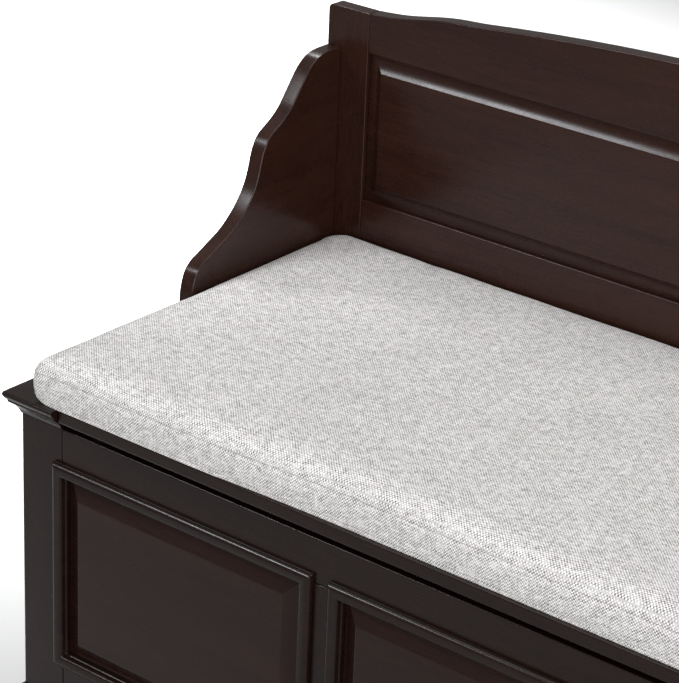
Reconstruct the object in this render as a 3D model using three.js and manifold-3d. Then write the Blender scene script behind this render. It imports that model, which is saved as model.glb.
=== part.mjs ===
// Upholstered storage bench: framed and panelled case, hinged lid, loose seat cushion,
// scrolled arms and a panelled back with an arched crest rail.
// Millimetres, +Z up. X runs along the bench and is 0 at its middle, Z is 0 on the floor.
// Inside this file Y is 0 on the front faces of the posts and grows towards the back;
// the whole group is moved at the end so that the origin is under the middle of the bench.

import * as THREE from 'three';
import { mergeVertices } from 'three/addons/utils/BufferGeometryUtils.js';
import Module from 'manifold-3d';

const wasm = await Module();
wasm.setup();

// Driving dimensions
const CASE_HALF = 525;          // half the width over the posts
const POST = 51.5;              // post and stile width
const GAP = 0.3;                // clearance between touching pieces
const BACK_FACE = 429;          // front face of the back frame
const BACK_THICK = 17;
const GLIDE_H = 4;
const FOOT_Z = GLIDE_H + GAP;
const RAIL_TOP = 403;
const LEDGE_BOTTOM = RAIL_TOP + GAP;
const SEAT_Z = 425;             // top of lid and ledges
const LID_THICK = 14.5;
const LID_PROUD = 6;            // how far the lid stands in front of the posts
const RAIL_THICK = 22;
const OPEN_LOW = 162.5;         // panel openings of the case
const OPEN_HIGH = 360;
const BASE_RAIL_LOW = 95;
const MUNTIN = 35.5;
const TONGUE = 7;               // panel tongue beyond its opening
const LAP = 9;                  // bolection moulding lap over the frame
const REAR_LEG_FRONT = 394;
const STILE_TOP = 705;
const BACK_OPEN_LOW = 510;
const BACK_OPEN_HIGH = 664.3;
const BACK_RAIL_LOW = 340;
const CREST_TOP = 740.6;
const CREST_RADIUS = 3000;
const ARM_THICK = 16.5;
const ARM_OUTER = CASE_HALF - 1.5;
const PLINTH_PROUD = 12;
const PLINTH_TOP = 92;
const CAP_TOP = 112;
const ARCH_TOP = 40;            // top of the cut-outs between the bracket feet
const FLOOR_LOW = 128;
const FLOOR_THICK = 9;
const LID_HALF = CASE_HALF - POST - 1.2;
const LID_REAR = 421;
const HINGE_Y = 425;
const HINGE_Z = 420.8;
const HINGE_LENGTH = 76;
const HINGE_X = 330;
const KNUCKLE_R = 3.5;
const PIN_R = 1.4;
const CUSHION_HALF = 505;
const CUSHION_FRONT = -9;
const CUSHION_REAR = 426.5;
const CUSHION_LOW = SEAT_Z + GAP;
const CUSHION_HIGH = 466;
const GROUP_Y = -216;           // moves the posts' front plane to its final place

// Materials
function material(color, roughness, metalness) {
  return new THREE.MeshStandardMaterial({ color, roughness, metalness });
}
const lacqueredWood = () => material(0x2c2220, 0.36, 0);
const panelWood = () => material(0x2e2321, 0.38, 0);
const plywood = () => material(0x3a2d27, 0.6, 0);
const linen = () => material(0xc9c5c2, 0.95, 0);
const steel = () => material(0x8e8a84, 0.35, 1);
const rubber = () => material(0x1b1b1b, 0.85, 0);
const nylon = () => material(0x2a2826, 0.7, 0);

const bench = new THREE.Group();

// Turns every triangle so that the faces point out of the body.
function closedGeometry(positions, triangles) {
  let volume = 0;
  const a = new THREE.Vector3();
  const b = new THREE.Vector3();
  const c = new THREE.Vector3();
  for (let i = 0; i < triangles.length; i += 3) {
    a.fromArray(positions, triangles[i] * 3);
    b.fromArray(positions, triangles[i + 1] * 3);
    c.fromArray(positions, triangles[i + 2] * 3);
    volume += a.dot(b.cross(c)) / 6;
  }
  const order = triangles.slice();
  if (volume < 0) {
    for (let i = 0; i < order.length; i += 3) {
      [order[i], order[i + 1]] = [order[i + 1], order[i]];
    }
  }
  const geometry = new THREE.BufferGeometry();
  geometry.setAttribute('position', new THREE.Float32BufferAttribute(positions, 3));
  geometry.setIndex(order);
  return geometry;
}

// Skins a row of equal loops of points. The ends are capped, or the last loop meets the first.
function loftGeometry(loops, ring = false, flat = null) {
  const n = loops[0].length;
  const positions = [];
  const triangles = [];
  for (const loop of loops) {
    for (const p of loop) positions.push(p[0], p[1], p[2]);
  }
  const spans = ring ? loops.length : loops.length - 1;
  for (let k = 0; k < spans; k += 1) {
    const here = k * n;
    const next = ((k + 1) % loops.length) * n;
    for (let i = 0; i < n; i += 1) {
      const j = (i + 1) % n;
      triangles.push(here + i, here + j, next + j);
      triangles.push(here + i, next + j, next + i);
    }
  }
  if (!ring) {
    const outline = flat.map(([u, v]) => new THREE.Vector2(u, v));
    const last = (loops.length - 1) * n;
    const faces = THREE.ShapeUtils.triangulateShape(outline, []);
    const area = ([i, j, k]) => THREE.ShapeUtils.area([outline[i], outline[j], outline[k]]);
    const total = faces.reduce((sum, face) => sum + area(face), 0);
    const along = total * THREE.ShapeUtils.area(outline) > 0;
    for (const [i, j, k] of faces) {
      const [p, q] = along ? [i, j] : [j, i];
      triangles.push(q, p, k);
      triangles.push(last + p, last + q, last + k);
    }
  }
  return closedGeometry(positions, triangles);
}

function toSolid(geometry) {
  const bare = geometry.clone();
  bare.deleteAttribute('normal');
  bare.deleteAttribute('uv');
  const merged = mergeVertices(bare, 1e-5);
  return new wasm.Manifold(new wasm.Mesh({
    numProp: 3,
    vertProperties: new Float32Array(merged.attributes.position.array),
    triVerts: new Uint32Array(merged.index.array),
  }));
}

function fromSolid(solid) {
  const mesh = solid.getMesh();
  const geometry = new THREE.BufferGeometry();
  geometry.setAttribute('position', new THREE.Float32BufferAttribute(mesh.vertProperties, 3));
  geometry.setIndex(Array.from(mesh.triVerts));
  return geometry;
}

// A block between two corners: [x0, x1, y0, y1, z0, z1].
function blockGeometry([x0, x1, y0, y1, z0, z1]) {
  const geometry = new THREE.BoxGeometry(Math.abs(x1 - x0), Math.abs(y1 - y0), Math.abs(z1 - z0));
  geometry.translate((x0 + x1) / 2, (y0 + y1) / 2, (z0 + z1) / 2);
  return geometry;
}

function cylinderGeometry(radius, length, segments, axis, centre) {
  const geometry = new THREE.CylinderGeometry(radius, radius, length, segments);
  if (axis === 'x') geometry.rotateZ(Math.PI / 2);
  if (axis === 'z') geometry.rotateX(Math.PI / 2);
  geometry.translate(...centre);
  return geometry;
}

function add(name, geometry, finish) {
  const mesh = new THREE.Mesh(geometry, finish);
  mesh.name = name;
  bench.add(mesh);
  return mesh;
}

// A block on one side of the bench: side is -1 on the left and 1 on the right.
function mirrored(side, [x0, x1, y0, y1, z0, z1]) {
  return side > 0 ? [x0, x1, y0, y1, z0, z1] : [-x1, -x0, y0, y1, z0, z1];
}

function grown([x0, x1, y0, y1, z0, z1], by) {
  return [x0 - by, x1 + by, y0 - by, y1 + by, z0 - by, z1 + by];
}

// A timber: a block with its tenons, less the mortises and grooves of the pieces it holds.
function timber(name, body, tenons, cuts, finish) {
  let solid = toSolid(blockGeometry(body));
  for (const tenon of tenons) solid = solid.add(toSolid(blockGeometry(tenon)));
  for (const cut of cuts) solid = solid.subtract(toSolid(blockGeometry(grown(cut, GAP))));
  add(name, fromSolid(solid), finish);
}

// An outline in the XZ plane with a thickness along Y.
function plateXZ(outline, y0, y1) {
  const lower = outline.map(([x, z]) => [x, y0, z]);
  const upper = outline.map(([x, z]) => [x, y1, z]);
  return loftGeometry([lower, upper], false, outline);
}

// An outline in the YZ plane with a thickness along X.
function plateYZ(outline, x0, x1) {
  const lower = outline.map(([y, z]) => [x0, y, z]);
  const upper = outline.map(([y, z]) => [x1, y, z]);
  return loftGeometry([lower, upper], false, outline);
}

function smoothCurve(points, steps) {
  const curve = new THREE.SplineCurve(points.map(([u, v]) => new THREE.Vector2(u, v)));
  return curve.getPoints(steps).map((p) => [p.x, p.y]);
}

// Tenons, panel tongues and where they go

const innerPost = CASE_HALF - POST;
const muntinInner = innerPost - (2 * innerPost - 2 * MUNTIN) / 3 - MUNTIN;
const muntinOuter = muntinInner + MUNTIN;
const frontOpenings = [
  { name: 'left', low: -innerPost, high: -muntinOuter },
  { name: 'centre', low: -muntinInner, high: muntinInner },
  { name: 'right', low: muntinOuter, high: innerPost },
];

// A block from positions along the panel, depth from the face, and height.
const FRONT = (a, d, z) => [a, d, z];
const SIDE = (side) => (a, d, z) => [side * (CASE_HALF - d), a, z];
const REAR = (a, d, z) => [a, BACK_FACE + d, z];

function placedBlock(place, a0, a1, d0, d1, z0, z1) {
  const p = place(a0, d0, z0);
  const q = place(a1, d1, z1);
  const sorted = [0, 1, 2].map((i) => [Math.min(p[i], q[i]), Math.max(p[i], q[i])]);
  return sorted.flat();
}

const CASE_TONGUE = [5, 11.5];
const BACK_TONGUE = [6, 11.5];

function tongueBlock(place, low, high, zLow, zHigh, depth) {
  return placedBlock(place, low - TONGUE, high + TONGUE, depth[0], depth[1],
    zLow - TONGUE, zHigh + TONGUE);
}

const sidePanelLow = POST;
const sidePanelHigh = REAR_LEG_FRONT;
const frontTongues = frontOpenings.map((o) => (
  tongueBlock(FRONT, o.low, o.high, OPEN_LOW, OPEN_HIGH, CASE_TONGUE)));
const sideTongue = (side) => (
  tongueBlock(SIDE(side), sidePanelLow, sidePanelHigh, OPEN_LOW, OPEN_HIGH, CASE_TONGUE));
const backTongue = tongueBlock(REAR, -innerPost, innerPost, BACK_OPEN_LOW, BACK_OPEN_HIGH,
  BACK_TONGUE);

const railEnd = innerPost - GAP;
const tenonReach = innerPost + 12;
const frontTenons = {
  top: [railEnd - 1, tenonReach, 6, 16, 369, 395],
  bottom: [railEnd - 1, tenonReach, 6, 16, 104, 152],
};
const rearTenons = {
  top: [railEnd - 1, tenonReach, 409, 418, 360, 392],
  bottom: [railEnd - 1, tenonReach, 409, 418, 104, 138],
};
const backTenons = {
  crest: [railEnd - 1, tenonReach, BACK_FACE + 5, BACK_FACE + 12, 676, 697],
  lower: [railEnd - 1, tenonReach, BACK_FACE + 5, BACK_FACE + 12, 362, 488],
};
const sideTenons = (zLow, zHigh) => [
  [CASE_HALF - 16, CASE_HALF - 6, POST - 10, POST + 2, zLow, zHigh],
  [CASE_HALF - 16, CASE_HALF - 6, REAR_LEG_FRONT - 2, REAR_LEG_FRONT + 10, zLow, zHigh],
];
const sideTopTenons = sideTenons(369, 395);
const sideBottomTenons = sideTenons(104, 152);
const muntinTenons = (side) => {
  const middle = side * (muntinInner + muntinOuter) / 2;
  return [
    [middle - 10, middle + 10, 6, 16, OPEN_LOW - 8, OPEN_LOW + 2],
    [middle - 10, middle + 10, 6, 16, OPEN_HIGH - 2, OPEN_HIGH + 8],
  ];
};
const rearPanelBlock = [-railEnd - TONGUE, railEnd + TONGUE, 411, 417, 150 - TONGUE, 345 + TONGUE];

function bothSides(block) {
  return [mirrored(-1, block), block];
}

// Case frame

function makePosts() {
  for (const side of [-1, 1]) {
    const label = side < 0 ? 'left' : 'right';
    const cuts = [frontTenons.top, frontTenons.bottom, sideTopTenons[0], sideBottomTenons[0]];
    const grooves = [side < 0 ? frontTongues[0] : frontTongues[2], sideTongue(side)];
    timber(`front_post_${label}`, mirrored(side, [innerPost, CASE_HALF, 0, POST, FOOT_Z, RAIL_TOP]),
      [], [...cuts.map((c) => mirrored(side, c)), ...grooves], lacqueredWood());
    const rearCuts = [rearTenons.top, rearTenons.bottom, sideTopTenons[1], sideBottomTenons[1]];
    timber(`rear_leg_${label}`,
      mirrored(side, [innerPost, CASE_HALF, REAR_LEG_FRONT, BACK_FACE - GAP, FOOT_Z, RAIL_TOP]),
      [], [...rearCuts.map((c) => mirrored(side, c)), sideTongue(side), rearPanelBlock],
      lacqueredWood());
  }
}

function makeFrontFrame() {
  const mortises = [...muntinTenons(-1), ...muntinTenons(1)];
  timber('front_top_rail', [-railEnd, railEnd, 0, RAIL_THICK, OPEN_HIGH, RAIL_TOP],
    bothSides(frontTenons.top), [...mortises, ...frontTongues], lacqueredWood());
  timber('front_bottom_rail', [-railEnd, railEnd, 0, RAIL_THICK, BASE_RAIL_LOW, OPEN_LOW],
    bothSides(frontTenons.bottom), [...mortises, ...frontTongues], lacqueredWood());
  for (const side of [-1, 1]) {
    const label = side < 0 ? 'left' : 'right';
    timber(`front_muntin_${label}`,
      mirrored(side, [muntinInner, muntinOuter, 0, RAIL_THICK, OPEN_LOW + GAP, OPEN_HIGH - GAP]),
      muntinTenons(side), frontTongues, lacqueredWood());
  }
}

function makeSideFrames() {
  for (const side of [-1, 1]) {
    const label = side < 0 ? 'left' : 'right';
    const x0 = CASE_HALF - RAIL_THICK;
    const y0 = POST + GAP;
    const y1 = REAR_LEG_FRONT - GAP;
    timber(`side_top_rail_${label}`,
      mirrored(side, [x0, CASE_HALF, y0, y1, OPEN_HIGH, RAIL_TOP]),
      sideTopTenons.map((t) => mirrored(side, t)), [sideTongue(side)], lacqueredWood());
    timber(`side_bottom_rail_${label}`,
      mirrored(side, [x0, CASE_HALF, y0, y1, BASE_RAIL_LOW, OPEN_LOW]),
      sideBottomTenons.map((t) => mirrored(side, t)), [sideTongue(side)], lacqueredWood());
  }
}

function makeCaseBack() {
  timber('rear_top_rail', [-railEnd, railEnd, 406, BACK_FACE - GAP, 345, RAIL_TOP],
    bothSides(rearTenons.top), [rearPanelBlock], lacqueredWood());
  timber('rear_bottom_rail', [-railEnd, railEnd, 406, BACK_FACE - GAP, BASE_RAIL_LOW, 150],
    bothSides(rearTenons.bottom), [rearPanelBlock], lacqueredWood());
  add('case_back_panel', blockGeometry(rearPanelBlock), plywood());
}

function makeFloor() {
  const x = CASE_HALF - RAIL_THICK - GAP;
  const body = [-x, x, RAIL_THICK + GAP, 406 - GAP, FLOOR_LOW, FLOOR_LOW + FLOOR_THICK];
  const notches = [];
  for (const side of [-1, 1]) {
    notches.push(mirrored(side, [innerPost, CASE_HALF, 0, POST, 100, 200]));
    notches.push(mirrored(side, [innerPost, CASE_HALF, REAR_LEG_FRONT, 430, 100, 200]));
  }
  timber('case_floor', body, [], notches, plywood());
  const low = FLOOR_LOW - 18;
  const high = FLOOR_LOW - GAP;
  add('floor_cleat_front', blockGeometry([-470, 470, RAIL_THICK + GAP, 42, low, high]), plywood());
  add('floor_cleat_rear', blockGeometry([-470, 470, 386, 406 - GAP, low, high]), plywood());
}

// Raised panels and the bolection mouldings around them

// Rectangular loop, inset from the opening by s (negative is into the groove), at a depth.
function panelLoop(place, o, s, depth) {
  return [
    place(o.low + s, depth, o.zLow + s),
    place(o.high - s, depth, o.zLow + s),
    place(o.high - s, depth, o.zHigh - s),
    place(o.low + s, depth, o.zHigh - s),
  ];
}

function raisedPanel(name, place, o, tongue, cove, finish) {
  const loops = [panelLoop(place, o, -TONGUE, tongue[1]), panelLoop(place, o, -TONGUE, tongue[0])];
  const steps = 7;
  for (let i = 0; i <= steps; i += 1) {
    const t = i / steps;
    const s = cove.start + (cove.end - cove.start) * t;
    const rise = (cove.field - tongue[0]) * t ** cove.bend;
    loops.push(panelLoop(place, o, s, tongue[0] + rise));
  }
  add(name, loftGeometry(loops, false, [[0, 0], [1, 0], [1, 1], [0, 1]]), finish);
}

// Section of the moulding: distance in from its outer edge, and depth behind the frame face.
function mouldingSection() {
  const section = [[0, -GAP], [0, -1.2]];
  for (let i = 1; i <= 6; i += 1) {
    const a = (i / 6) * (Math.PI / 2);
    section.push([5.2 - 5.2 * Math.cos(a), -1.2 - 5.8 * Math.sin(a)]);
  }
  section.push([8.0, -6.9], [9.9, -6.4]);
  for (let i = 1; i <= 4; i += 1) {
    const a = (i / 4) * (Math.PI / 2);
    section.push([9.9 + 2.9 * Math.sin(a), -3.5 - 2.9 * Math.cos(a)]);
  }
  section.push([13.1, -0.4], [13.9, 0.3], [14.4, 1.2], [14.4, CASE_TONGUE[0] - GAP]);
  section.push([LAP + GAP, CASE_TONGUE[0] - GAP], [LAP + GAP, -GAP]);
  return section;
}

function panelMoulding(name, place, o) {
  const section = mouldingSection();
  const corner = (a, z, da, dz) => section.map(([s, d]) => (
    place(a + da * (s - LAP), d, z + dz * (s - LAP))));
  const loops = [
    corner(o.low, o.zLow, 1, 1),
    corner(o.high, o.zLow, -1, 1),
    corner(o.high, o.zHigh, -1, -1),
    corner(o.low, o.zHigh, 1, -1),
  ];
  add(name, loftGeometry(loops, true), lacqueredWood());
}

function makePanels() {
  const cove = { start: 7, end: 23.8, field: -3, bend: 1.15 };
  for (const o of frontOpenings) {
    const opening = { ...o, zLow: OPEN_LOW, zHigh: OPEN_HIGH };
    raisedPanel(`front_panel_${o.name}`, FRONT, opening, CASE_TONGUE, cove, panelWood());
    panelMoulding(`front_moulding_${o.name}`, FRONT, opening);
  }
  for (const side of [-1, 1]) {
    const label = side < 0 ? 'left' : 'right';
    const opening = { low: sidePanelLow, high: sidePanelHigh, zLow: OPEN_LOW, zHigh: OPEN_HIGH };
    raisedPanel(`side_panel_${label}`, SIDE(side), opening, CASE_TONGUE, cove, panelWood());
    panelMoulding(`side_moulding_${label}`, SIDE(side), opening);
  }
  const back = { low: -innerPost, high: innerPost, zLow: BACK_OPEN_LOW, zHigh: BACK_OPEN_HIGH };
  raisedPanel('back_panel', REAR, back, BACK_TONGUE, { start: 0.6, end: 17.5, field: 0, bend: 2 },
    panelWood());
}

// Back frame above the seat

function crestHeight(x) {
  return CREST_TOP - (x * x) / (2 * CREST_RADIUS);
}

function makeBackFrame() {
  for (const side of [-1, 1]) {
    const label = side < 0 ? 'left' : 'right';
    const r = 6;
    const outline = [[innerPost, FOOT_Z], [CASE_HALF, FOOT_Z]];
    for (let i = 0; i <= 5; i += 1) {
      const a = (i / 5) * (Math.PI / 2);
      outline.push([CASE_HALF - r + r * Math.cos(a), STILE_TOP - r + r * Math.sin(a)]);
    }
    outline.push([innerPost, STILE_TOP]);
    const shaped = outline.map(([x, z]) => [side * x, z]);
    let solid = toSolid(plateXZ(shaped, BACK_FACE, BACK_FACE + BACK_THICK));
    for (const cut of [backTenons.crest, backTenons.lower, backTongue]) {
      solid = solid.subtract(toSolid(blockGeometry(grown(mirrored(side, cut), GAP))));
    }
    add(`back_stile_${label}`, fromSolid(solid), lacqueredWood());
  }
  makeCrestRail();
  timber('back_lower_rail',
    [-railEnd, railEnd, BACK_FACE, BACK_FACE + BACK_THICK, BACK_RAIL_LOW, BACK_OPEN_LOW],
    bothSides(backTenons.lower), [backTongue], lacqueredWood());
}

function makeCrestRail() {
  const edge = CASE_HALF;
  const sweep = [
    [railEnd, 705.1], [edge - 66, 706.0], [edge - 84, 707.8], [edge - 104, 711.0],
    [edge - 126, 715.2], [edge - 150, 718.6], [edge - 180, crestHeight(edge - 180)],
  ];
  const half = smoothCurve(sweep, 18);
  for (let i = 1; i <= 9; i += 1) {
    const x = (edge - 180) * (1 - i / 9);
    half.push([x, crestHeight(x)]);
  }
  const left = half.slice(0, -1).reverse().map(([x, z]) => [-x, z]);
  const outline = [[-railEnd, BACK_OPEN_HIGH], [railEnd, BACK_OPEN_HIGH], ...half, ...left];
  let solid = toSolid(plateXZ(outline, BACK_FACE, BACK_FACE + BACK_THICK));
  for (const tenon of bothSides(backTenons.crest)) {
    solid = solid.add(toSolid(blockGeometry(tenon)));
  }
  solid = solid.subtract(toSolid(blockGeometry(grown(backTongue, GAP))));
  add('crest_rail', fromSolid(solid), lacqueredWood());
}

// Arms: double scroll in side view, standing on the end ledges
function makeArms() {
  const scroll = [
    [211.5, 448], [212.6, 463], [218, 479.5], [227, 488.5], [237, 493.5], [251, 500.5],
    [267, 508.5], [282, 520], [293.5, 532.5], [302, 545], [307.5, 558], [311, 571],
    [315, 583.5], [321.5, 593.5], [331, 600], [342, 606.5], [353, 616], [362, 627.5],
    [371, 639.5], [380, 650.5], [389.5, 658], [400, 662], [413, 663.3],
  ];
  const rear = BACK_FACE - GAP;
  const outline = [[211.5, SEAT_Z + GAP], ...smoothCurve(scroll, 60)];
  outline.push([rear, 663.5], [rear, SEAT_Z + GAP]);
  for (const side of [-1, 1]) {
    const label = side < 0 ? 'left' : 'right';
    add(`arm_${label}`, plateYZ(outline, side * (ARM_OUTER - ARM_THICK), side * ARM_OUTER),
      lacqueredWood());
  }
}

// End ledges: moulded on the front and on the outer end
function makeLedges() {
  const section = [
    [0.9, LEDGE_BOTTOM], [1.5, 405.4], [2.8, 407.9], [4.8, 410.5], [7.2, 412.8],
    [9.9, 414.6], [10.3, 415.0], [10.3, 417.3], [11.0, 417.7], [12.5, 418.9],
    [13.6, 420.7], [14.0, 422.4], [13.5, 423.9], [12.3, 424.8], [11.0, SEAT_Z],
  ];
  const rear = BACK_FACE - GAP;
  for (const side of [-1, 1]) {
    const label = side < 0 ? 'left' : 'right';
    const loops = section.map(([o, z]) => {
      const r = Math.min(3, 0.25 * o + 0.2);
      const x = CASE_HALF + o;
      const c = r * (1 - Math.SQRT1_2);
      return [
        [innerPost, -o], [x - r, -o], [x - c, -o + c], [x, -o + r], [x, rear], [innerPost, rear],
      ].map(([px, py]) => [side * px, py, z]);
    });
    const cap = [[0, 0], [4, 0], [5, 0.3], [5.3, 1], [5.3, 9], [0, 9]];
    add(`end_ledge_${label}`, loftGeometry(loops, false, cap), lacqueredWood());
  }
}

// Plinth boards with bracket feet, and the moulding that caps them

function archedOutline(low, high, foot) {
  const end = low + foot;
  const rise = ARCH_TOP - FOOT_Z;
  const outline = [[low, PLINTH_TOP], [low, FOOT_Z], [end - 14, FOOT_Z]];
  for (let i = 0; i <= 6; i += 1) {
    const a = (i / 6) * (Math.PI / 2);
    outline.push([end + 22 - 22 * Math.cos(a), FOOT_Z + rise * Math.sin(a)]);
  }
  for (let i = 6; i >= 0; i -= 1) {
    const a = (i / 6) * (Math.PI / 2);
    outline.push([high - foot - 22 + 22 * Math.cos(a), FOOT_Z + rise * Math.sin(a)]);
  }
  outline.push([high - foot + 14, FOOT_Z], [high, FOOT_Z], [high, PLINTH_TOP]);
  return outline;
}

function makePlinth() {
  const x = CASE_HALF + PLINTH_PROUD;
  const rear = BACK_FACE + BACK_THICK;
  add('plinth_front', plateXZ(archedOutline(-x, x, 120), -PLINTH_PROUD, -GAP), lacqueredWood());
  for (const side of [-1, 1]) {
    const label = side < 0 ? 'left' : 'right';
    add(`plinth_${label}`,
      plateYZ(archedOutline(0, rear, 95), side * (CASE_HALF + GAP), side * x), lacqueredWood());
  }
}

function makeBaseMoulding() {
  const section = [
    [GAP, PLINTH_TOP + GAP], [13.2, PLINTH_TOP + GAP], [14, 93.4], [14, 98.2], [13.2, 99.2],
    [12.2, 99.4], [12.2, 101.2], [9.6, 102.6], [7.0, 104.6], [4.9, 107.2], [3.4, 110],
    [2.4, CAP_TOP], [GAP, CAP_TOP],
  ];
  const joint = 0.15;
  const frontEnd = (side) => section.map(([o, z]) => [side * (CASE_HALF + o - joint), -o, z]);
  add('base_moulding_front', loftGeometry([frontEnd(-1), frontEnd(1)], false, section),
    lacqueredWood());
  const rear = BACK_FACE + BACK_THICK;
  for (const side of [-1, 1]) {
    const label = side < 0 ? 'left' : 'right';
    const near = section.map(([o, z]) => [side * (CASE_HALF + o), -o + joint * 2, z]);
    const far = section.map(([o, z]) => [side * (CASE_HALF + o), rear, z]);
    add(`base_moulding_${label}`, loftGeometry([near, far], false, section), lacqueredWood());
  }
}

function makeGlides() {
  for (const side of [-1, 1]) {
    const label = side < 0 ? 'left' : 'right';
    const x = side * (CASE_HALF - POST / 2);
    const z = GLIDE_H / 2;
    add(`glide_front_${label}`, cylinderGeometry(14, GLIDE_H, 20, 'z', [x, 26, z]), nylon());
    add(`glide_rear_${label}`, cylinderGeometry(14, GLIDE_H, 20, 'z', [x, 422, z]), nylon());
  }
}

// Lid

function makeLid() {
  const low = SEAT_Z - LID_THICK;
  const outline = [[LID_REAR, SEAT_Z], [LID_REAR, low]];
  for (let i = 0; i <= 5; i += 1) {
    const a = (i / 5) * (Math.PI / 2);
    outline.push([3.5 - LID_PROUD - 3.5 * Math.sin(a), low + 3.5 - 3.5 * Math.cos(a)]);
  }
  for (let i = 0; i <= 3; i += 1) {
    const a = (i / 3) * (Math.PI / 2);
    outline.push([2 - LID_PROUD - 2 * Math.cos(a), SEAT_Z - 2 + 2 * Math.sin(a)]);
  }
  add('lid_board', plateYZ(outline, -LID_HALF, LID_HALF), lacqueredWood());
  const top = low - GAP;
  for (const side of [-1, 1]) {
    const label = side < 0 ? 'left' : 'right';
    add(`lid_batten_${label}`, blockGeometry(mirrored(side, [290, 335, 45, 375, top - 18, top])),
      lacqueredWood());
    const height = top - RAIL_TOP - GAP;
    const centre = [side * 440, 14, RAIL_TOP + GAP + height / 2];
    add(`lid_bumper_${label}`, cylinderGeometry(5, height, 16, 'z', centre), rubber());
  }
}

// Butt hinges: each leaf carries its own knuckles and is cut clear of the other leaf's
function makeHinge(label, x) {
  const half = HINGE_LENGTH / 2;
  const third = HINGE_LENGTH / 6;
  const centre = (cx) => [cx, HINGE_Y, HINGE_Z];
  const hole = toSolid(cylinderGeometry(PIN_R + GAP, HINGE_LENGTH + 4, 16, 'x', centre(x)));
  const knuckle = (x0, x1, r) => (
    toSolid(cylinderGeometry(r, x1 - x0, 20, 'x', centre((x0 + x1) / 2))));
  const outer = [[x - half, x - third], [x + third, x + half]];
  const swept = KNUCKLE_R + 0.35;

  let fixed = toSolid(blockGeometry([x - half, x + half, BACK_FACE - GAP - 1.5, BACK_FACE - GAP,
    405, HINGE_Z]));
  fixed = fixed.subtract(knuckle(x - third - GAP, x + third + GAP, swept));
  for (const [x0, x1] of outer) fixed = fixed.add(knuckle(x0, x1, KNUCKLE_R));
  add(`hinge_fixed_leaf_${label}`, fromSolid(fixed.subtract(hole)), steel());

  let moving = toSolid(blockGeometry([x - half, x + half, LID_REAR + GAP, LID_REAR + GAP + 1.5,
    411.5, HINGE_Z]));
  for (const [x0, x1] of outer) {
    moving = moving.subtract(knuckle(x0 - GAP * 2, x1 + GAP, swept));
  }
  moving = moving.add(knuckle(x - third + GAP, x + third - GAP, KNUCKLE_R));
  add(`hinge_moving_leaf_${label}`, fromSolid(moving.subtract(hole)), steel());
  add(`hinge_pin_${label}`, cylinderGeometry(PIN_R, HINGE_LENGTH, 16, 'x', centre(x)), steel());
}

// Loose seat cushion between the arms
function makeCushion() {
  const section = [
    [3.5, CUSHION_LOW], [0.8, CUSHION_LOW + 3.5], [0, CUSHION_LOW + 9],
    [0, CUSHION_HIGH - 9], [1.6, CUSHION_HIGH - 3], [6, CUSHION_HIGH],
  ];
  const loops = section.map(([inset, z]) => {
    const r = 12;
    const x = CUSHION_HALF - inset;
    const y0 = CUSHION_FRONT + inset;
    const y1 = CUSHION_REAR - inset;
    const corners = [[x, y1, 0], [-x, y1, 90], [-x, y0, 180], [x, y0, 270]];
    const loop = [];
    for (const [cx, cy, start] of corners) {
      for (let i = 0; i <= 4; i += 1) {
        const a = THREE.MathUtils.degToRad(start + i * 22.5);
        const mx = cx - Math.sign(cx) * r;
        const my = cy === y1 ? cy - r : cy + r;
        loop.push([mx + r * Math.cos(a), my + r * Math.sin(a), z]);
      }
    }
    return loop;
  });
  const flat = loops[0].map(([x, y]) => [x, y]);
  add('seat_cushion', loftGeometry(loops, false, flat), linen());
}

makePosts();
makeFrontFrame();
makeSideFrames();
makeCaseBack();
makeFloor();
makePanels();
makeBackFrame();
makeArms();
makeLedges();
makePlinth();
makeBaseMoulding();
makeGlides();
makeLid();
makeHinge('left', -HINGE_X);
makeHinge('right', HINGE_X);
makeCushion();

bench.position.y = GROUP_Y;
bench.updateMatrixWorld(true);

export default bench;
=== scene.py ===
"""Looks of the storage bench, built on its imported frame. Metres, +Z up, +X right, +Y back."""

import math

import bmesh
import bpy
from mathutils import Matrix, Vector, noise
from mathutils.bvhtree import BVHTree
from mathutils.kdtree import KDTree


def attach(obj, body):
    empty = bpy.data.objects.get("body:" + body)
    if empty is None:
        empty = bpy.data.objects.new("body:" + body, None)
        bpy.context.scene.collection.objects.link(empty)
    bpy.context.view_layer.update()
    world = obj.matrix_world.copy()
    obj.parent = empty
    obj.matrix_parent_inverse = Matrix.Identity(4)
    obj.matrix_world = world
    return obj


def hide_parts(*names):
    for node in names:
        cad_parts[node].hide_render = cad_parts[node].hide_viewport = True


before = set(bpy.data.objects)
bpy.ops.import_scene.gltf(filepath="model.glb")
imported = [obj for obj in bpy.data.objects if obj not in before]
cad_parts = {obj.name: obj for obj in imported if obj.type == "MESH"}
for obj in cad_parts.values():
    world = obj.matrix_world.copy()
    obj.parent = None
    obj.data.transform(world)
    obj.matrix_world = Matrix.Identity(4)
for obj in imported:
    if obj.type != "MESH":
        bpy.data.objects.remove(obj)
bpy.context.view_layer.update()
scene = bpy.context.scene
scene.view_settings.view_transform = "Standard"

# Camera: place in the part's frame, and turn
CAM_POSITION = (1.0434, -1.7435, 1.4657)
CAM_AZIMUTH = 38.147
CAM_ELEVATION = 24.241
CAM_ROLL = 2.49
CAM_LENS = 137.9
CAM_SENSOR = 36.0

# Edge roundings of the timber, in metres
EASED = 0.0012
ARRIS = 0.0006

SMALL_EASED = 0.0003            # hinges, bumpers and glides
EASE_ANGLE = 30.0               # degrees over which an edge is rounded
SHARP_ANGLE = 42.0              # degrees over which shading stays sharp

# Lacquer
LACQUER_ROUGH = 0.23
LACQUER_IOR = 1.37
LACQUER_COAT = 0.03
LACQUER_COAT_ROUGH = 0.12

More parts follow.
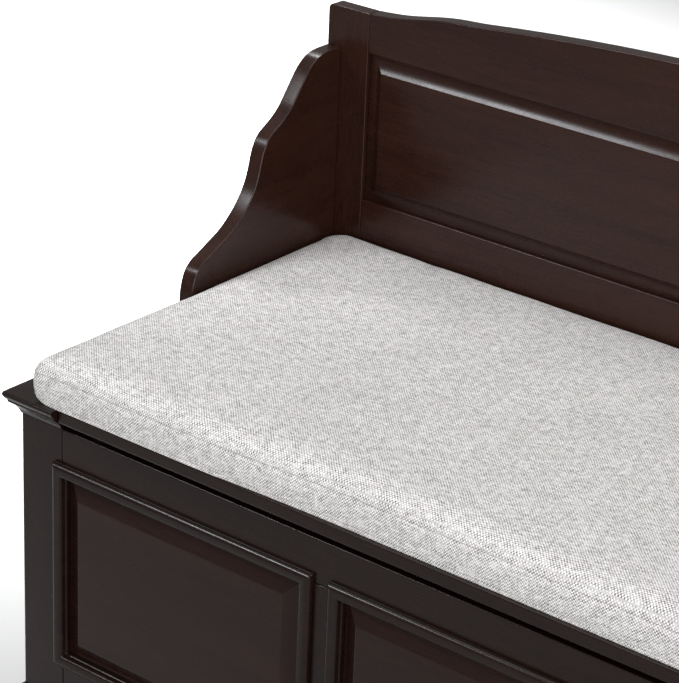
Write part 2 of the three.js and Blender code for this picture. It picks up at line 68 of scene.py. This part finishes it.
# Stains of the wood: dark and light fibres, and the tint of the clouds
FRAME_STAIN = ((0.0084, 0.0036, 0.0025), (0.0152, 0.0065, 0.0045), (0.0116, 0.0051, 0.0037))
PANEL_STAIN = ((0.0118, 0.0042, 0.0031), (0.0220, 0.0078, 0.0056), (0.0166, 0.0062, 0.0045))
WARM_STAIN = ((0.0180, 0.0062, 0.0038), (0.0325, 0.0112, 0.0070), (0.0240, 0.0088, 0.0058))

# Cover: spacing of the threads, how far they wander, and the tones of warp and weft
THREAD = 0.0015
THREAD_WANDER = THREAD * 1.4
WARP_TONES = ((0.34, (0.60, 0.58, 0.572)), (0.58, (0.98, 0.955, 0.945)))
WEFT_TONES = ((0.38, (0.12, 0.112, 0.108)), (0.62, (0.62, 0.60, 0.592)))

# Cushion: sewn outline, heights and corners
CUSHION_HALF = 0.5064
CUSHION_FRONT = -0.2266
CUSHION_REAR = 0.2122
CUSHION_LOW = 0.4253
CUSHION_TOP = 0.4698
LOWER_SEAM = 0.4300
UPPER_SEAM = 0.4563             # at the very front
SEAM_FRONT = (0.0042, 0.028)    # rise of the upper seam behind the front edge, and its reach
SEAM_REAR = 0.0035              # rise of the upper seam in the rear half
SEAM_REAR_SPAN = (0.06, 0.19)
SEAM_PUSHED = (0.0062, 0.027)   # rise against the back, and its reach
FRONT_CORNER_R = 0.007
REAR_CORNER_R = 0.022
CORNER_STEPS = 6
SIDE_STEPS = (60, 28)
DRAWN_IN = 0.0052               # how far the front edge is drawn in midway
DRAWN_SPAN = (0.14, 0.34)
UNDERCUT = 0.0065               # how far the cover is made below the lid, then cut level
CORNER_LIFT = 0.014             # reach of the lift at the corners

# Crown over the upper seam: inset from the outline, and share of the rise to the top
CROWN = ((0.0025, 0.30), (0.0060, 0.58), (0.0120, 0.79), (0.0250, 0.91), (0.0550, 0.98),
         (0.1100, 1.0))
CUSHION_VOXEL = 0.005
CUSHION_CAP = 0.0025            # furthest that the filling moves a point
CLOTH_FRAMES = 20

# Turned edges along the two sewn lines
SEAM_R = 0.0007
SEAM_SINK = 0.0006
SEAM_STEP = 0.004
SEAM_SIDES = 6
PINCH_DEPTH = 0.0006
PINCH_WIDTH = 0.0025

# Studio: half size and tones of the floor, strength of the surrounding light
FLOOR_HALF = 30.0
FLOOR_TONES = (0.36, 0.38)
WORLD_STRENGTH = 0.25
WHITE = (1.0, 1.0, 1.0)
COOL = (0.93, 0.96, 1.0)
WIDE = 180.0

# Softboxes: name, place, aim, size, watts, colour and spread in degrees
SOFTBOXES = (
    ("softbox_top", (-0.5, 0.1, 3.0), (0, 0, 0.4), (2.2, 2.2), 36, WHITE, WIDE),
    ("softbox_left", (-1.94, -1.72, 2.33), (-0.25, -0.1, 0.45), (0.62, 0.54), 24, COOL, WIDE),
    ("softbox_right", (3.0, -1.2, 1.8), (0, 0, 0.5), (1.8, 1.8), 90, WHITE, WIDE),
    ("softbox_front", (0.7, -3.6, 1.1), (0, 0, 0.4), (2.0, 1.2), 58, WHITE, WIDE),
    ("softbox_floor", (-1.7, 1.1, 2.2), (-1.7, 1.1, 0), (0.5, 0.5), 100, WHITE, 88.0),
)


def linked_object(name, mesh):
    obj = bpy.data.objects.new(name, mesh)
    scene.collection.objects.link(obj)
    return obj


def new_material(name):
    mat = bpy.data.materials.new(name)
    mat.use_nodes = True
    tree = mat.node_tree
    tree.nodes.clear()
    out = tree.nodes.new("ShaderNodeOutputMaterial")
    shader = tree.nodes.new("ShaderNodeBsdfPrincipled")
    tree.links.new(shader.outputs["BSDF"], out.inputs["Surface"])
    return mat, tree, shader


class Nodes:
    """Short ways to make and link the nodes of one material."""

    def __init__(self, tree):
        self.tree = tree

    def add(self, kind, **values):
        node = self.tree.nodes.new(kind)
        for key, value in values.items():
            setattr(node, key, value)
        return node

    def link(self, a, b):
        self.tree.links.new(a, b)

    def put(self, socket, value):
        if isinstance(value, bpy.types.NodeSocket):
            self.link(value, socket)
        else:
            socket.default_value = value

    def math(self, op, a, b=0.0):
        node = self.add("ShaderNodeMath", operation=op)
        self.put(node.inputs[0], a)
        self.put(node.inputs[1], b)
        return node.outputs[0]

    def vector(self, op, a, b):
        node = self.add("ShaderNodeVectorMath", operation=op)
        self.put(node.inputs[0], a)
        self.put(node.inputs[1], b)
        return node.outputs[0]

    def noise(self, vec, scale, detail=3.0, rough=0.5, distortion=0.0):
        node = self.add("ShaderNodeTexNoise")
        self.link(vec, node.inputs["Vector"])
        node.inputs["Scale"].default_value = scale
        node.inputs["Detail"].default_value = detail
        node.inputs["Roughness"].default_value = rough
        node.inputs["Distortion"].default_value = distortion
        return node.outputs["Fac"]

    def ramp(self, fac, stops):
        node = self.add("ShaderNodeValToRGB")
        self.link(fac, node.inputs["Fac"])
        elements = node.color_ramp.elements
        while len(elements) < len(stops):
            elements.new(0.5)
        for element, (pos, color) in zip(elements, stops):
            element.position = pos
            element.color = (*color, 1.0)
        return node.outputs["Color"]

    def spread(self, value, low, high, to_low, to_high):
        node = self.add("ShaderNodeMapRange")
        self.put(node.inputs["Value"], value)
        for key, number in (("From Min", low), ("From Max", high), ("To Min", to_low),
                            ("To Max", to_high)):
            node.inputs[key].default_value = number
        return node.outputs["Result"]

    def mix(self, fac, a, b, blend="MIX"):
        node = self.add("ShaderNodeMix", data_type="RGBA", blend_type=blend)
        self.put(node.inputs[0], fac)
        self.put(node.inputs[6], a)
        self.put(node.inputs[7], b)
        return node.outputs[2]

    def bump(self, height, strength, distance, normal=None):
        node = self.add("ShaderNodeBump")
        self.link(height, node.inputs["Height"])
        node.inputs["Strength"].default_value = strength
        node.inputs["Distance"].default_value = distance
        if normal is not None:
            self.link(normal, node.inputs["Normal"])
        return node.outputs["Normal"]

    def blend(self, fac, a, b):
        node = self.add("ShaderNodeMix", data_type="FLOAT")
        self.put(node.inputs[0], fac)
        self.put(node.inputs[2], a)
        self.put(node.inputs[3], b)
        return node.outputs[0]

    def joined(self, x, y, z):
        node = self.add("ShaderNodeCombineXYZ")
        for socket, value in zip(node.inputs, (x, y, z)):
            self.put(socket, value)
        return node.outputs[0]

    def place(self):
        return self.add("ShaderNodeTexCoord").outputs["Object"]

    def scaled(self, vec, scale):
        return self.vector("MULTIPLY", vec, scale)

    def fibre(self, vec, grain, stretch):
        """Coordinates drawn out along the axis that the fibres run along."""
        along = [1.0, 1.0, 1.0]
        along["xyz".index(grain)] = stretch
        return self.scaled(vec, along)


def grey(v):
    return (v, v, v)


def lacquered_wood(name, grain, stains, shift):
    """Dark stained wood under satin lacquer. grain is the axis that the fibres run along."""
    dark, light, tint = stains
    mat, tree, shader = new_material(name)
    n = Nodes(tree)
    place = n.vector("ADD", n.place(), (shift, shift * 0.7, shift * 1.3))
    fibre = n.fibre(place, grain, 0.07)
    bands = n.noise(fibre, 42.0, 5.0, 0.55, 0.6)
    pores = n.noise(fibre, 620.0, 2.0, 0.6)
    cloud = n.noise(place, 5.5, 3.0, 0.5)
    between = tuple((a + b) / 2 for a, b in zip(dark, light))
    stain = n.ramp(bands, [(0.32, dark), (0.52, between), (0.72, light)])
    stain = n.mix(n.spread(cloud, 0.35, 0.7, 0.0, 0.55), stain, (*tint, 1.0))
    deep = n.spread(pores, 0.3, 0.62, 0.72, 1.0)
    stain = n.mix(1.0, stain, n.ramp(deep, [(0.0, grey(0.0)), (1.0, grey(1.0))]), "MULTIPLY")
    n.link(stain, shader.inputs["Base Color"])
    fine = n.noise(place, 900.0, 2.0, 0.6)
    worn = n.noise(place, 24.0, 4.0, 0.6)
    base = n.spread(worn, 0.3, 0.7, LACQUER_ROUGH - 0.03, LACQUER_ROUGH + 0.04)
    speck = n.spread(fine, 0.3, 0.7, -0.06, 0.06)
    n.link(n.math("ADD", base, speck), shader.inputs["Roughness"])
    peel = n.bump(n.noise(place, 260.0, 2.0, 0.5), 0.12, 0.0002)
    speckle = n.bump(fine, 0.16, 0.00012, peel)
    n.link(n.bump(pores, 0.10, 0.0002, speckle), shader.inputs["Normal"])
    shader.inputs["IOR"].default_value = LACQUER_IOR
    shader.inputs["Coat Weight"].default_value = LACQUER_COAT
    shader.inputs["Coat Roughness"].default_value = LACQUER_COAT_ROUGH
    return mat


def stained_ply(name, grain):
    mat, tree, shader = new_material(name)
    n = Nodes(tree)
    place = n.place()
    fibre = n.fibre(place, grain, 0.05)
    bands = n.noise(fibre, 60.0, 6.0, 0.6, 0.8)
    color = n.ramp(bands, [(0.3, (0.030, 0.017, 0.011)), (0.7, (0.062, 0.036, 0.024))])
    n.link(color, shader.inputs["Base Color"])
    n.link(n.spread(bands, 0.3, 0.7, 0.5, 0.66), shader.inputs["Roughness"])
    n.link(n.bump(n.noise(fibre, 500.0, 3.0), 0.2, 0.0003), shader.inputs["Normal"])
    return mat


def hinge_steel():
    mat, tree, shader = new_material("antique_steel")
    n = Nodes(tree)
    place = n.place()
    brushed = n.noise(n.scaled(place, (0.06, 1.0, 1.0)), 900.0, 3.0)
    cloud = n.noise(place, 90.0, 3.0)
    n.link(n.ramp(cloud, [(0.35, (0.30, 0.28, 0.25)), (0.7, (0.42, 0.39, 0.34))]),
           shader.inputs["Base Color"])
    n.link(n.spread(brushed, 0.3, 0.7, 0.26, 0.44), shader.inputs["Roughness"])
    n.link(n.bump(brushed, 0.2, 0.0001), shader.inputs["Normal"])
    shader.inputs["Metallic"].default_value = 1.0
    return mat


def moulded(name, dark, light, rough):
    mat, tree, shader = new_material(name)
    n = Nodes(tree)
    place = n.place()
    n.link(n.ramp(n.noise(place, 160.0, 3.0), [(0.3, dark), (0.7, light)]),
           shader.inputs["Base Color"])
    fine = n.noise(place, 1500.0, 2.0)
    n.link(n.spread(fine, 0.3, 0.7, rough - 0.08, rough + 0.08), shader.inputs["Roughness"])
    n.link(n.bump(fine, 0.3, 0.0001), shader.inputs["Normal"])
    return mat


def linen(name, tone):
    """Heathered weave: pale warp over darker weft, laid over each face of the cover."""
    mat, tree, shader = new_material(name)
    n = Nodes(tree)
    place = n.place()
    split = n.add("ShaderNodeSeparateXYZ")
    n.link(place, split.inputs[0])
    x, y, z = split.outputs
    facing = n.add("ShaderNodeSeparateXYZ")
    n.link(n.add("ShaderNodeTexCoord").outputs["Normal"], facing.inputs[0])
    is_top = n.spread(n.math("ABSOLUTE", facing.outputs[2]), 0.62, 0.66, 0.0, 1.0)
    is_end = n.spread(n.math("ABSOLUTE", facing.outputs[0]), 0.68, 0.73, 0.0, 1.0)
    across = n.blend(is_end, x, y)
    up = n.blend(is_top, z, y)

    def thread_phase(coordinate, other, seed):
        """Place across the row of threads, which wander a little along their length."""
        drift = n.noise(n.joined(n.math("MULTIPLY", coordinate, 70.0),
                                 n.math("MULTIPLY", other, 24.0), seed), 1.0, 2.0)
        shifted = n.math("ADD", coordinate,
                         n.math("MULTIPLY", n.math("SUBTRACT", drift, 0.5), THREAD_WANDER))
        return n.math("MULTIPLY", shifted, math.pi / THREAD)

    def slubs(coordinate, other, seed):
        """Lighter and darker stretches of each thread."""
        return n.noise(n.joined(n.math("MULTIPLY", coordinate, 560.0),
                                n.math("MULTIPLY", other, 120.0), seed), 1.0, 3.0, 0.65)

    warp = thread_phase(across, up, 3.1)
    weft = thread_phase(up, across, 8.7)
    over = n.math("MULTIPLY", n.math("SINE", warp), n.math("SINE", weft))
    check = n.spread(over, -0.35, 0.35, 0.0, 1.0)
    warp_height = n.math("ABSOLUTE", n.math("SINE", warp))
    weft_height = n.math("ABSOLUTE", n.math("SINE", weft))
    weave = n.blend(check, warp_height, weft_height)
    pale = n.ramp(slubs(across, up, 1.7), WARP_TONES)
    deep = n.ramp(slubs(up, across, 5.3), WEFT_TONES)
    color = n.mix(check, deep, pale)
    cloud = n.noise(place, 9.0, 3.0)
    color = n.mix(1.0, color, n.ramp(cloud, [(0.3, grey(0.95)), (0.7, grey(1.0))]), "MULTIPLY")
    # Painted shade: the colour is darkened where the weave height is low, in the gaps between
    # threads; a tone below 1 darkens the whole cloth further
    thread_gap_shade = n.spread(weave, 0.0, 0.6, 0.62 * tone, tone)
    color = n.mix(1.0, color, n.ramp(thread_gap_shade, [(0.0, grey(0.0)), (1.0, grey(1.0))]), "MULTIPLY")
    n.link(color, shader.inputs["Base Color"])
    n.link(n.spread(weave, 0.0, 1.0, 0.97, 0.86), shader.inputs["Roughness"])
    n.link(n.bump(weave, 0.5, 0.0003), shader.inputs["Normal"])
    shader.inputs["Specular IOR Level"].default_value = 0.2
    shader.inputs["Sheen Weight"].default_value = 0.06
    shader.inputs["Sheen Roughness"].default_value = 0.5
    return mat


wood = {axis: lacquered_wood(f"espresso_{axis}", axis, FRAME_STAIN, shift)
        for axis, shift in (("x", 0.0), ("y", 0.37), ("z", 0.81))}
warm = {axis: lacquered_wood(f"espresso_warm_{axis}", axis, WARM_STAIN, shift)
        for axis, shift in (("x", 1.9), ("y", 2.3), ("z", 2.8))}
panel_wood = lacquered_wood("espresso_panel", "x", PANEL_STAIN, 1.4)
ply_x = stained_ply("stained_ply", "x")
steel = hinge_steel()
rubber = moulded("bumper_rubber", (0.010, 0.010, 0.010), (0.022, 0.022, 0.022), 0.75)
nylon = moulded("glide_nylon", (0.020, 0.018, 0.016), (0.034, 0.031, 0.028), 0.5)
linen_cloth = linen("heather_linen", 1.0)
# Painted shade: a darker copy of the linen for the seam cords, drawing the shaded line along
# the sewn seams
linen_seam_shade = linen("heather_linen_seam_shade", 0.84)

GRAIN_Z = ("front_post", "rear_leg", "back_stile", "front_muntin")
GRAIN_Y = ("side_top_rail", "side_bottom_rail", "side_moulding", "end_ledge", "arm_",
           "plinth_left", "plinth_right", "base_moulding_left", "base_moulding_right",
           "lid_batten")
PANELS = ("front_panel", "side_panel", "back_panel")
WARM = ("crest_rail", "back_lower_rail", "back_stile", "arm_")
JOINTED = ("front_post", "front_top_rail", "front_bottom_rail", "front_muntin", "side_top_rail",
           "side_bottom_rail", "rear_leg", "crest_rail", "back_lower_rail", "back_stile")


def finish_of(name):
    if name.startswith("hinge"):
        return steel
    if name.startswith("lid_bumper"):
        return rubber
    if name.startswith("glide"):
        return nylon
    if name in ("case_back_panel", "case_floor", "floor_cleat_front", "floor_cleat_rear"):
        return ply_x
    if name == "back_panel":
        return warm["x"]
    if name.startswith(PANELS):
        return panel_wood
    stain = warm if name.startswith(WARM) else wood
    if name.startswith(GRAIN_Z):
        return stain["z"]
    if name.startswith(GRAIN_Y):
        return stain["y"]
    return stain["x"]


def smooth_by_angle():
    """Geometry nodes that shade smooth, with sharp edges over a set angle."""
    group = bpy.data.node_groups.new("shade_by_angle", "GeometryNodeTree")
    for side in ("INPUT", "OUTPUT"):
        group.interface.new_socket("Geometry", in_out=side, socket_type="NodeSocketGeometry")
    start = group.nodes.new("NodeGroupInput")
    end = group.nodes.new("NodeGroupOutput")
    faces = group.nodes.new("GeometryNodeSetShadeSmooth")
    faces.domain = "FACE"
    edges = group.nodes.new("GeometryNodeSetShadeSmooth")
    edges.domain = "EDGE"
    edges.inputs["Shade Smooth"].default_value = False
    angle = group.nodes.new("GeometryNodeInputMeshEdgeAngle")
    over = group.nodes.new("FunctionNodeCompare")
    over.data_type = "FLOAT"
    over.operation = "GREATER_THAN"
    over.inputs[1].default_value = math.radians(SHARP_ANGLE)
    link = group.links.new
    link(start.outputs[0], faces.inputs["Geometry"])
    link(faces.outputs[0], edges.inputs["Geometry"])
    link(angle.outputs["Unsigned Angle"], over.inputs[0])
    link(over.outputs[0], edges.inputs["Selection"])
    link(edges.outputs[0], end.inputs[0])
    return group


SHADE = smooth_by_angle()


def dress(name, obj):
    """Material and eased edges of a CAD piece that keeps its shape."""
    obj.data.materials.clear()
    obj.data.materials.append(finish_of(name))
    weld = obj.modifiers.new("weld", "WELD")
    weld.merge_threshold = 0.00001
    flat = obj.modifiers.new("dissolve", "DECIMATE")
    flat.decimate_type = "DISSOLVE"
    flat.angle_limit = math.radians(0.4)
    profiled = name.startswith(PANELS) or "moulding" in name or name.startswith("end_ledge")
    small = name.startswith(("hinge", "lid_bumper", "glide"))
    bevel = obj.modifiers.new("ease", "BEVEL")
    bevel.width = SMALL_EASED if small else (ARRIS if profiled else EASED)
    bevel.segments = 2 if profiled or small else 3
    bevel.limit_method = "ANGLE"
    bevel.angle_limit = math.radians(EASE_ANGLE)
    bevel.use_clamp_overlap = not name.startswith(JOINTED)
    shade = obj.modifiers.new("shade", "NODES")
    shade.node_group = SHADE
    weight = obj.modifiers.new("weight", "WEIGHTED_NORMAL")
    weight.keep_sharp = True
    weight.weight = 60


for node_name, node_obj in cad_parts.items():
    if node_name != "seat_cushion":
        dress(node_name, node_obj)


# Seat cushion

def smooth_step(value, low, high):
    t = min(1.0, max(0.0, (value - low) / (high - low)))
    return t * t * (3 - 2 * t)


def seam_height(y):
    """Height of the upper seam: it drops at the front edge and is pushed up by the back."""
    rise, reach = SEAM_FRONT
    front = rise * (1 - math.exp(-(y - CUSHION_FRONT) / reach))
    push, near = SEAM_PUSHED
    pushed = max(0.0, (y - CUSHION_REAR + near) / near)
    rear = SEAM_REAR * smooth_step(y, *SEAM_REAR_SPAN)
    return UPPER_SEAM + front + rear + push * pushed ** 1.3


def cushion_ring(inset):
    """Closed ring of plan points, inset from the sewn outline; the front is drawn in midway."""
    points = []
    corners = ((1, 1, 0), (-1, 1, 90), (-1, -1, 180), (1, -1, 270))
    for index, (sx, sy, start) in enumerate(corners):
        full = REAR_CORNER_R if sy > 0 else FRONT_CORNER_R
        r = max(full - inset, 0.0004)
        edge_y = CUSHION_REAR if sy > 0 else CUSHION_FRONT
        cx = sx * (CUSHION_HALF - inset - r)
        cy = edge_y - sy * (inset + r)
        for i in range(CORNER_STEPS + 1):
            a = math.radians(start + 90 * i / CORNER_STEPS)
            points.append(Vector((cx + r * math.cos(a), cy + r * math.sin(a), 0)))
        points.append(SIDE_STEPS[index % 2])
    ring = []
    for i, p in enumerate(points):
        if isinstance(p, Vector):
            ring.append(p)
            continue
        before, after = points[i - 1], points[(i + 1) % len(points)]
        ring += [before.lerp(after, k / p) for k in range(1, p)]
    for p in ring:
        drawn = DRAWN_IN * (1 - smooth_step(abs(p.x), *DRAWN_SPAN))
        p.y += drawn * min(1.0, max(0.0, (-p.y - 0.08) / 0.14))
    return ring


def cushion_rings():
    """Rings from the underside to the crown, and the two of them that follow the sewn lines."""
    outline = cushion_ring(0.0006)
    corner = [min((abs(p.x) - CUSHION_HALF) ** 2 + (p.y - y) ** 2
                  for y in (CUSHION_FRONT, CUSHION_REAR)) ** 0.5 for p in outline]
    lifted = [math.exp(-(d / CORNER_LIFT) ** 2) for d in corner]
    seams = [seam_height(p.y) for p in outline]
    rings = []

    def level(inset, heights):
        ring = cushion_ring(inset)
        rings.append([Vector((p.x, p.y, z)) for p, z in zip(ring, heights)])

    level(0.0300, [CUSHION_LOW - UNDERCUT] * len(seams))
    level(0.0060, [CUSHION_LOW - UNDERCUT * (1 - t) for t in lifted])
    level(0.0008, [CUSHION_LOW - 0.0030 + 0.0060 * t for t in lifted])
    level(0.0002, [LOWER_SEAM + 0.0030 * t for t in lifted])
    bottom_seam = rings[-1]
    level(-0.0004, [LOWER_SEAM + (s - LOWER_SEAM) * 0.3 for s in seams])
    level(-0.0006, [LOWER_SEAM + (s - LOWER_SEAM) * 0.7 for s in seams])
    level(0.0006, seams)
    top_seam = rings[-1]
    for inset, rise in CROWN:
        level(inset, [s + (CUSHION_TOP - s) * rise for s in seams])
    return rings, top_seam, bottom_seam


def cushion_start(plan_rings):
    bm = bmesh.new()
    rings = [[bm.verts.new(p) for p in ring] for ring in plan_rings]
    for lower, upper in zip(rings, rings[1:]):
        count = len(lower)
        for i in range(count):
            j = (i + 1) % count
            bm.faces.new((lower[i], lower[j], upper[j], upper[i]))
    bm.faces.new(list(reversed(rings[0])))
    bm.faces.new(rings[-1])
    bmesh.ops.recalc_face_normals(bm, faces=bm.faces)
    mesh = bpy.data.meshes.new("seat_cushion_linen")
    bm.to_mesh(mesh)
    bm.free()
    return linked_object("seat_cushion_linen", mesh)


def apply_modifiers(obj):
    graph = bpy.context.evaluated_depsgraph_get()
    mesh = bpy.data.meshes.new_from_object(obj.evaluated_get(graph))
    old = obj.data
    obj.modifiers.clear()
    obj.data = mesh
    bpy.data.meshes.remove(old)


def fill_by_cloth(obj):
    """Swells the cover with air pressure, then limits how far each point has moved."""
    rest = [v.co.copy() for v in obj.data.vertices]
    cloth = obj.modifiers.new("cloth", "CLOTH")
    s = cloth.settings
    s.quality = 5
    s.mass = 0.3
    s.tension_stiffness = 30
    s.compression_stiffness = 30
    s.shear_stiffness = 15
    s.bending_stiffness = 6.0
    s.use_pressure = True
    s.uniform_pressure_force = 4.0
    s.effector_weights.gravity = 0.0
    cloth.point_cache.frame_start = 1
    cloth.point_cache.frame_end = CLOTH_FRAMES
    for number in range(1, CLOTH_FRAMES + 1):
        scene.frame_set(number)
        bpy.context.view_layer.update()
    apply_modifiers(obj)
    scene.frame_set(1)
    moved = [v.co - p for v, p in zip(obj.data.vertices, rest)]
    for v, p, step in zip(obj.data.vertices, rest, moved):
        reach = step.length
        if reach > 1e-7:
            v.co = p + step * (CUSHION_CAP * math.tanh(reach / CUSHION_CAP) / reach)


def soft_limit(value, limit, room):
    """Eases a coordinate towards a limit that it may not pass."""
    over = value - (limit - room)
    return value if over <= 0 else limit - room * math.exp(-over / room)


def settle(obj):
    """Small lumps of the filling, then clear of the lid, the arms and the back."""
    for v in obj.data.vertices:
        u, w = v.co.x, v.co.y
        inside = smooth_step(CUSHION_HALF - abs(u), 0.0, 0.04)
        inside *= smooth_step(w - CUSHION_FRONT, 0.0, 0.05)
        up = smooth_step(v.co.z, 0.450, 0.460)
        lump = noise.noise(Vector((u * 6, w * 8, 0.3))) * 0.0014
        lump += noise.noise(Vector((u * 19, w * 21, 1.7))) * 0.0005
        v.co.z += up * lump * (0.35 + 0.65 * inside)
        side = noise.noise(Vector((u * 15, w * 15, v.co.z * 30))) * 0.0006
        if v.co.z > 0.429:
            v.co.y += side
        v.co.x = math.copysign(soft_limit(abs(v.co.x), CUSHION_HALF + 0.0012, 0.001), v.co.x)
        v.co.y = soft_limit(v.co.y, CUSHION_REAR + 0.0004, 0.001)
        v.co.y = -soft_limit(-v.co.y, -CUSHION_FRONT + 0.002, 0.002)


def level_underside(obj):
    """Cuts the cover level where it lies on the lid, and closes it there."""
    bm = bmesh.new()
    bm.from_mesh(obj.data)
    cut = bmesh.ops.bisect_plane(bm, geom=bm.verts[:] + bm.edges[:] + bm.faces[:], dist=0.00002,
                                 plane_co=(0, 0, CUSHION_LOW), plane_no=(0, 0, 1),
                                 clear_inner=True)
    rim = [item for item in cut["geom_cut"] if isinstance(item, bmesh.types.BMEdge)]
    bmesh.ops.contextual_create(bm, geom=rim)
    for edge in rim:
        edge.smooth = False
    bmesh.ops.recalc_face_normals(bm, faces=bm.faces)
    bm.to_mesh(obj.data)
    bm.free()


def seam_points(obj, ring):
    """Points of the cover nearest to a sewn line, at an even step along it."""
    graph = bpy.context.evaluated_depsgraph_get()
    tree = BVHTree.FromObject(obj, graph)
    points = []
    for p, q in zip(ring, ring[1:] + ring[:1]):
        count = max(1, round((q - p).length / SEAM_STEP))
        for i in range(count):
            hit, normal, _, _ = tree.find_nearest(p.lerp(q, i / count))
            points.append((hit, normal))
    return points


def pinch(obj, points, depth, width):
    """Draws the cover in along a sewn line."""
    tree = KDTree(len(points))
    for i, (p, _) in enumerate(points):
        tree.insert(p, i)
    tree.balance()
    for v in obj.data.vertices:
        _, i, dist = tree.find(v.co)
        if dist < width * 3:
            v.co -= points[i][1] * depth * math.exp(-(dist / width) ** 2)


def seam_mesh(name, points, radius, sink):
    """Turned edge of the cover along a sewn line: a closed many-sided ring."""
    bm = bmesh.new()
    rings = []
    count = len(points)
    for i, (p, normal) in enumerate(points):
        ahead = (points[(i + 1) % count][0] - points[i - 1][0]).normalized()
        out = (normal - ahead * normal.dot(ahead)).normalized()
        side = ahead.cross(out)
        centre = p - out * sink
        rings.append([
            bm.verts.new(centre + (out * math.cos(a) + side * math.sin(a)) * radius)
            for a in (k * math.tau / SEAM_SIDES for k in range(SEAM_SIDES))])
    for i in range(count):
        here, ahead = rings[i], rings[(i + 1) % count]
        for k in range(SEAM_SIDES):
            m = (k + 1) % SEAM_SIDES
            bm.faces.new((here[k], here[m], ahead[m], ahead[k]))
    bmesh.ops.recalc_face_normals(bm, faces=bm.faces)
    mesh = bpy.data.meshes.new(name)
    bm.to_mesh(mesh)
    bm.free()
    return linked_object(name, mesh)


def make_cushion():
    rings, top_seam, bottom_seam = cushion_rings()
    obj = cushion_start(rings)
    remesh = obj.modifiers.new("remesh", "REMESH")
    remesh.mode = "VOXEL"
    remesh.voxel_size = CUSHION_VOXEL
    apply_modifiers(obj)
    fill_by_cloth(obj)
    sub = obj.modifiers.new("subdivide", "SUBSURF")
    sub.levels = sub.render_levels = 1
    apply_modifiers(obj)
    settle(obj)
    level_underside(obj)
    pieces = [obj]
    for label, ring in (("top", top_seam), ("bottom", bottom_seam)):
        points = seam_points(obj, ring)
        pinch(obj, points, PINCH_DEPTH, PINCH_WIDTH)
        pieces.append(seam_mesh(f"cushion_seam_{label}", points, SEAM_R, SEAM_SINK))
    for piece in pieces:
        for polygon in piece.data.polygons:
            polygon.use_smooth = True
        piece.data.materials.clear()
        # The seam cords take the darker linen copy: painted shade along the sewn lines
        piece.data.materials.append(linen_cloth if piece is obj else linen_seam_shade)
        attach(piece, "cushion")
    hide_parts("seat_cushion")


make_cushion()


# Floor, light and camera

def make_floor():
    mesh = bpy.data.meshes.new("studio_floor")
    half = FLOOR_HALF
    mesh.from_pydata([(-half, -half, 0), (half, -half, 0), (half, half, 0), (-half, half, 0)],
                     [], [(0, 1, 2, 3)])
    obj = linked_object("studio_floor", mesh)
    mat, tree, shader = new_material("pale_floor")
    n = Nodes(tree)
    tone = n.noise(n.place(), 0.7, 2.0)
    low, high = FLOOR_TONES
    n.link(n.ramp(tone, [(0.3, grey(low)), (0.7, grey(high))]), shader.inputs["Base Color"])
    shader.inputs["Roughness"].default_value = 0.9
    shader.inputs["Specular IOR Level"].default_value = 0.1
    mesh.materials.append(mat)


def area_light(name, place, target, size, power, color, spread):
    data = bpy.data.lights.new(name, "AREA")
    data.shape = "RECTANGLE"
    data.size, data.size_y = size
    data.energy = power
    data.color = color
    data.spread = math.radians(spread)
    obj = bpy.data.objects.new(name, data)
    scene.collection.objects.link(obj)
    obj.location = place
    aim = Vector(target) - Vector(place)
    obj.rotation_euler = aim.to_track_quat("-Z", "Y").to_euler()


def make_light():
    world = bpy.data.worlds.new("studio")
    scene.world = world
    world.use_nodes = True
    back = world.node_tree.nodes["Background"]
    back.inputs["Color"].default_value = (*WHITE, 1.0)
    back.inputs["Strength"].default_value = WORLD_STRENGTH
    for softbox in SOFTBOXES:
        area_light(*softbox)


def make_camera():
    data = bpy.data.cameras.new("photo_view")
    data.lens = CAM_LENS
    data.sensor_width = CAM_SENSOR
    data.clip_end = 200
    obj = bpy.data.objects.new("photo_view", data)
    scene.collection.objects.link(obj)
    a, e, roll = (math.radians(v) for v in (CAM_AZIMUTH, CAM_ELEVATION, CAM_ROLL))
    back = Vector((math.sin(a) * math.cos(e), -math.cos(a) * math.cos(e), math.sin(e)))
    right = Vector((0, 0, 1)).cross(back).normalized()
    up = back.cross(right)
    turned_right = right * math.cos(roll) + up * math.sin(roll)
    turned_up = up * math.cos(roll) - right * math.sin(roll)
    turn = Matrix((turned_right, turned_up, back)).transposed().to_4x4()
    obj.matrix_world = Matrix.Translation(Vector(CAM_POSITION)) @ turn
    scene.camera = obj


make_floor()
make_light()
make_camera()
